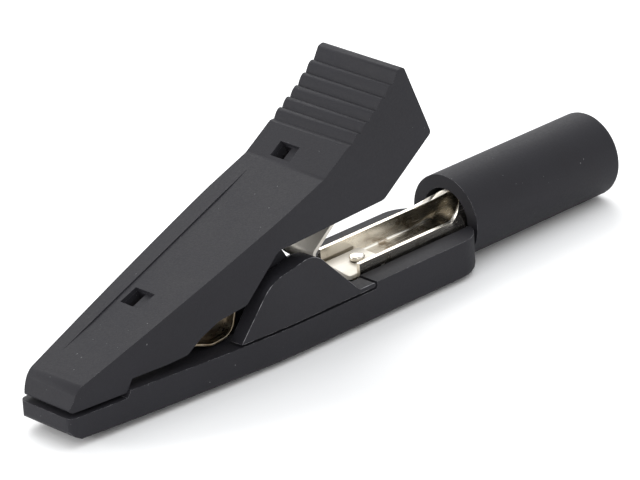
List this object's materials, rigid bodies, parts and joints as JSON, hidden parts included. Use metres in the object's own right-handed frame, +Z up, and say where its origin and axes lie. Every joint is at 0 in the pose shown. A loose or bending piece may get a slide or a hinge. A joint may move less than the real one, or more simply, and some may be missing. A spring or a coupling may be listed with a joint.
{
  "type": "insulated crocodile test clip",
  "caption": "Small insulated crocodile test clip: sprung upper lever with grooved thumb pad, hinge cheeks, nickel contacts and a rear 2 mm plug socket.",
  "frame": {"origin": "bottom centre of the bounding box, under the middle of the clip's length, level with the lowest line of the barrel", "axes": "+X from the jaw tips towards the rear socket, +Y across the clip, +Z up from the underside to the thumb pad"},
  "size_m": [0.0418, 0.0064, 0.0141],
  "materials": {
    "body_black": "fine matte charcoal moulding",
    "lever_black": "fine matte charcoal moulding",
    "cheek_black": "fine matte charcoal moulding",
    "pin_steel": "plain steel pin",
    "nickel_sheet": "bright nickel plated sheet",
    "spring_steel": "bright plated spring strip"
  },
  "bodies": {
    "body": {"lower_body": "body_black", "hinge_cheek_near": "cheek_black", "hinge_cheek_far": "cheek_black", "pivot_pin": "pin_steel", "socket_contact": "nickel_sheet", "leaf_spring": "spring_steel", "spring_rivet": "nickel_sheet"},
    "lever": {"upper_lever": "lever_black", "jaw_contact": "nickel_sheet"}
  },
  "joints": [
    {"name": "lever_hinge", "type": "hinge", "parent": "body", "child": "lever", "pos_m": [-0.00473, 0, 0.0034], "axis": [0, 1, 0], "range_deg": [0, 18], "stiffness_Nm_per_rad": 0.04, "springref_deg": -34.38, "deforming": ["leaf_spring"]}
  ]
}
